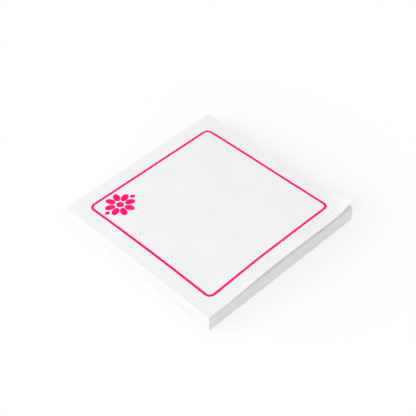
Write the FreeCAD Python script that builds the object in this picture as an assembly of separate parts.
import FreeCAD, Part

import math
import os

# A square pad of sticky notes, lying on its backing sheet.
# X runs along the width of a note, Y up the note to its bound edge, Z up.
# The origin is under the middle of the pad, on the surface that it rests on.
# The top note has come up along its free edge, and its right-hand corner curls.

# Driving sizes, in millimetres and degrees.
PAD_WIDTH = 76.0
PAD_LENGTH = 76.0

BACKING_THICKNESS = 0.15

SHEET_THICKNESS = 0.1
BLOCK_SHEETS = 63
SHEET_EDGE_BREAK = 0.03  # height of the crushed edge that the knife leaves on each sheet
SHEET_GAP_DEPTH = 0.04  # how far the line between two sheets runs in from the cut sides

GUM_THICKNESS = 0.03
GUM_WIDTH = 18.0
GUM_MARGIN = 1.0  # bare paper between the gum and the edges of the note

FREE_LIFT = 1.6  # how far the free edge has come up
LIFT_MARGIN = 4.0  # length of the free edge that still lies down, at its left end
LIFT_RUN = 31.0  # length of the free edge over which it then comes up
FREE_DROOP = 0.45  # how far it has come down again by its right end
LIFT_POWER = 4.0  # how late the note leaves the block between the gum and the free edge

CURL_LENGTH = 9.2  # from where the corner starts to curl to its tip
CURL_ANGLE = 39.0
CURL_POWER = 1.5  # how late the curl takes up its angle, 1 being an even curl

INK_THICKNESS = 0.05  # thicker than the real film of ink, so that the print has a body

SIDE_MARGIN = 7.0  # from the note's edges at the sides to the middle of the border line
TOP_MARGIN = 6.45
BOTTOM_MARGIN = 6.45
BORDER_LINE = 1.05
BORDER_CORNER = 2.2

FLOWER_LEFT = 8.4  # from the middle of the border line on the left to the flower's middle
FLOWER_DOWN = 6.8  # from the middle of the border line at the top to the flower's middle
PETAL_COUNT = 8
PETAL_TIP = 6.0  # from the flower's middle to the ends of the petals
PETAL_ROOT = 1.95
PETAL_WIDTH = 2.7
EYE_RADIUS = 1.5
LEAF_TIP = 7.5  # from the flower's middle to the ends of the leaves
LEAF_ROOT = 5.2
LEAF_WIDTH = 1.8

# Knots of the curved note: wide apart where it is nearly flat, close where it curls.
WIDE_STEP = 6.0
CLOSE_STEP = 1.3
CURL_ROOM = 3.0  # close knots start this far before the curl

DEGREE = 3
NORMAL_STEP = 0.01
CURL_STEPS = 24

# Sizes that follow from them.
half_width = PAD_WIDTH / 2
half_length = PAD_LENGTH / 2
block_bottom = BACKING_THICKNESS
block_top = block_bottom + BLOCK_SHEETS * SHEET_THICKNESS
note_bottom = block_top + GUM_THICKNESS
gum_top_edge = half_length - GUM_MARGIN
gum_low_edge = gum_top_edge - GUM_WIDTH
border_left = SIDE_MARGIN - half_width
border_top = half_length - TOP_MARGIN
border_width = PAD_WIDTH - 2 * SIDE_MARGIN
border_length = PAD_LENGTH - TOP_MARGIN - BOTTOM_MARGIN
lift_end = LIFT_MARGIN + LIFT_RUN - half_width
corner_reach = (half_width + half_length) / math.sqrt(2)
curl_start = corner_reach - CURL_LENGTH


def box(low, high):
    """A box between two opposite corners."""
    size = [b - a for a, b in zip(low, high)]
    return Part.makeBox(*size, FreeCAD.Vector(*low))


def prism(outline, z_low, z_high):
    """A flat face stood up into a straight solid from z_low to z_high."""
    raised = outline.copy()
    raised.translate(FreeCAD.Vector(0, 0, z_low))
    return raised.extrude(FreeCAD.Vector(0, 0, z_high - z_low))


# The block of sheets under the top note


def sheet_edge_profile(half_size):
    """Side view of the stack, as points (across, z): each sheet's edge stands out from the gaps."""
    right = []
    for index in range(BLOCK_SHEETS):
        low = block_bottom + index * SHEET_THICKNESS
        high = low + SHEET_THICKNESS
        right.append((half_size - SHEET_GAP_DEPTH, low))
        right.append((half_size, low + SHEET_EDGE_BREAK))
        right.append((half_size, high - SHEET_EDGE_BREAK))
    right.append((half_size - SHEET_GAP_DEPTH, block_top))
    left = [(-across, z) for across, z in reversed(right)]
    return right + left


def stack_along_y():
    """The stack's profile across X, drawn out along Y."""
    points = [FreeCAD.Vector(x, -half_length, z) for x, z in sheet_edge_profile(half_width)]
    face = Part.Face(Part.makePolygon(points + points[:1]))
    return face.extrude(FreeCAD.Vector(0, PAD_LENGTH, 0))


def stack_along_x():
    """The stack's profile across Y, drawn out along X."""
    points = [FreeCAD.Vector(-half_width, y, z) for y, z in sheet_edge_profile(half_length)]
    face = Part.Face(Part.makePolygon(points + points[:1]))
    return face.extrude(FreeCAD.Vector(PAD_WIDTH, 0, 0))


def sheet_block():
    """All the sheets under the top note, held together by their gum: one solid."""
    return stack_along_y().common(stack_along_x())


# The backing sheet and the top note's gum


def backing_sheet():
    """The coated sheet under the pad, cut with it."""
    return box((-half_width, -half_length, 0), (half_width, half_length, BACKING_THICKNESS))


def gum_strip():
    """The gum on the back of the top note, along its bound edge."""
    side = half_width - GUM_MARGIN
    return box((-side, gum_low_edge, block_top), (side, gum_top_edge, note_bottom))


# The top note


def eased(share):
    """A rise from 0 to 1 that starts and ends level."""
    share = min(1.0, max(0.0, share))
    return share**2 * (3 - 2 * share)


def free_edge_lift(u, v):
    """How far the note has come up at the point (u, v) of the flat note."""
    away = max(0.0, (gum_low_edge - v) / (gum_low_edge + half_length))
    risen = FREE_LIFT * eased((u - lift_end + LIFT_RUN) / LIFT_RUN)
    drooped = FREE_DROOP * eased((u - lift_end) / (half_width - lift_end))
    return (risen - drooped) * away**LIFT_POWER


def curled(length):
    """How far forward and up the curl has come after a length of paper."""
    step = length / CURL_STEPS
    forward, up = 0.0, 0.0
    for index in range(CURL_STEPS):
        share = (index + 0.5) * step / CURL_LENGTH
        slope = math.radians(CURL_ANGLE) * share**CURL_POWER
        forward += step * math.cos(slope)
        up += step * math.sin(slope)
    return forward, up


def note_underside(u, v):
    """Where the point (u, v) of the flat note's underside ends up."""
    toward_corner = (u - v) / math.sqrt(2)
    across_corner = (u + v) / math.sqrt(2)
    z = note_bottom + free_edge_lift(u, v)
    if toward_corner > curl_start:
        forward, up = curled(toward_corner - curl_start)
        toward_corner = curl_start + forward
        z += up
    x = (across_corner + toward_corner) / math.sqrt(2)
    y = (across_corner - toward_corner) / math.sqrt(2)
    return FreeCAD.Vector(x, y, z)


def note_point(u, v, height):
    """The point (u, v) of the flat note at a height above its underside, along the paper's normal."""
    if height == 0 or v > gum_low_edge:
        return note_underside(u, v) + FreeCAD.Vector(0, 0, height)
    along_u = note_underside(u + NORMAL_STEP, v) - note_underside(u - NORMAL_STEP, v)
    along_v = note_underside(u, v + NORMAL_STEP) - note_underside(u, v - NORMAL_STEP)
    return note_underside(u, v) + along_u.cross(along_v).normalize() * height


def even_steps(start, end, step):
    """Places from start towards end, without the end, at most a step apart."""
    count = max(1, math.ceil(abs(end - start) / step))
    return [start + (end - start) * index / count for index in range(count)]


def knots_across():
    """Knots along the width: wide on the left, close at the curled right-hand corner."""
    close_from = half_width - CURL_LENGTH * math.sqrt(2) - CURL_ROOM
    wide = even_steps(-half_width, close_from, WIDE_STEP)
    return wide + even_steps(close_from, half_width, CLOSE_STEP) + [half_width]


def knots_up():
    """Knots up the length: close at the curled corner, then wide to the bound edge."""
    close_to = -half_length + CURL_LENGTH * math.sqrt(2) + CURL_ROOM
    close = even_steps(-half_length, close_to, CLOSE_STEP)
    return close + even_steps(close_to, half_length, WIDE_STEP) + [half_length]


def pole_places(knots):
    """Where the poles sit along a line, so that flat parts of the note stay exactly flat."""
    full = [knots[0]] * DEGREE + knots + [knots[-1]] * DEGREE
    return [sum(full[i + 1 : i + 1 + DEGREE]) / DEGREE for i in range(len(full) - DEGREE - 1)]


def note_face(height):
    """One side of the curved note, at a height above its underside."""
    across, up = knots_across(), knots_up()
    poles = [[note_point(u, v, height) for v in pole_places(up)] for u in pole_places(across)]
    surface = Part.BSplineSurface()
    repeats = [[DEGREE + 1] + [1] * (len(knots) - 2) + [DEGREE + 1] for knots in (across, up)]
    surface.buildFromPolesMultsKnots(
        poles, repeats[0], repeats[1], across, up, False, False, DEGREE, DEGREE
    )
    return surface.toShape()


def top_note():
    """The uppermost note: flat over its gum, lifted at its free edge, curled at one corner."""
    under, over = note_face(0), note_face(SHEET_THICKNESS)
    sides = [Part.makeRuledSurface(a, b) for a, b in zip(under.Edges, over.Edges)]
    shell = Part.makeShell([under, over] + sides)
    shell.sewShape()
    solid = Part.makeSolid(shell)
    if solid.Volume < 0:
        solid.reverse()
    return solid


# The print on the top note


def rounded_rectangle(width, length, corner):
    """A rectangle with round corners, as a flat face about the origin."""
    straight_x = width / 2 - corner
    straight_y = length / 2 - corner
    edges = []
    for turn, (side_x, side_y) in enumerate(((1, 1), (-1, 1), (-1, -1), (1, -1))):
        centre = FreeCAD.Vector(side_x * straight_x, side_y * straight_y, 0)
        start = 90 * turn
        edges.append(Part.makeCircle(corner, centre, FreeCAD.Vector(0, 0, 1), start, start + 90))
    corners = list(edges)
    for arc, following in zip(corners, corners[1:] + corners[:1]):
        edges.append(Part.makeLine(arc.Vertexes[-1].Point, following.Vertexes[0].Point))
    return Part.Face(Part.Wire(Part.__sortEdges__(edges)))


def border_outline():
    """The printed line round the note, as a flat face at z 0."""
    outer, inner = [
        rounded_rectangle(border_width + grow, border_length + grow, BORDER_CORNER + grow / 2)
        for grow in (BORDER_LINE, -BORDER_LINE)
    ]
    line = outer.cut(inner)
    line.translate(FreeCAD.Vector(0, border_top - border_length / 2, 0))
    return line


def petal(angle):
    """An oval petal that points along an angle, in degrees from the X axis."""
    middle = FreeCAD.Vector((PETAL_TIP + PETAL_ROOT) / 2, 0, 0)
    oval = Part.Ellipse(middle, (PETAL_TIP - PETAL_ROOT) / 2, PETAL_WIDTH / 2)
    face = Part.Face(Part.Wire([oval.toShape()]))
    face.rotate(FreeCAD.Vector(0, 0, 0), FreeCAD.Vector(0, 0, 1), angle)
    return face


def leaf(side):
    """A pointed leaf beside the flower: side is 1 on the right and -1 on the left."""
    root = FreeCAD.Vector(side * LEAF_ROOT, 0, 0)
    tip = FreeCAD.Vector(side * LEAF_TIP, 0, 0)
    middle = (root + tip) * 0.5
    bow = FreeCAD.Vector(0, LEAF_WIDTH / 2, 0)
    edges = [Part.Arc(root, middle + way, tip).toShape() for way in (bow, -bow)]
    return Part.Face(Part.Wire(edges))


def flower_outline():
    """The petals, the eye and two leaves, inside the border's top left corner, at z 0."""
    turn = 360 / PETAL_COUNT
    petals = [petal(turn * (index + 0.5)) for index in range(PETAL_COUNT)]
    eye = Part.Face(Part.Wire([Part.makeCircle(EYE_RADIUS)]))
    flower = eye.multiFuse(petals + [leaf(-1), leaf(1)]).removeSplitter()
    flower.translate(FreeCAD.Vector(border_left + FLOWER_LEFT, border_top - FLOWER_DOWN, 0))
    return flower


def print_on(paper, outline):
    """Ink in the shape of a flat outline, lying on the curved face of the note."""
    above = note_bottom + SHEET_THICKNESS + FREE_LIFT + CURL_LENGTH
    printed = paper.common(prism(outline, block_top, above))
    solids = [face.extrude(FreeCAD.Vector(0, 0, INK_THICKNESS)) for face in printed.Faces]
    return solids[0] if len(solids) == 1 else Part.makeCompound(solids)


def main():
    paper = note_face(SHEET_THICKNESS)
    nodes = {
        "backing_sheet": backing_sheet(),
        "sheet_block": sheet_block(),
        "gum_strip": gum_strip(),
        "top_note": top_note(),
        "printed_border": print_on(paper, border_outline()),
        "printed_flower": print_on(paper, flower_outline()),
    }
    os.makedirs("parts", exist_ok=True)
    for name, shape in nodes.items():
        shape.exportStep(f"parts/{name}.step")
        bounds = shape.BoundBox
        print(
            f"{name}: {len(shape.Solids)} solids, valid {shape.isValid()}, {shape.Volume:.2f} mm3, "
            f"x {bounds.XMin:.2f} to {bounds.XMax:.2f}, y {bounds.YMin:.2f} to {bounds.YMax:.2f}, "
            f"z {bounds.ZMin:.2f} to {bounds.ZMax:.2f}, {len(shape.Faces)} faces"
        )


main()
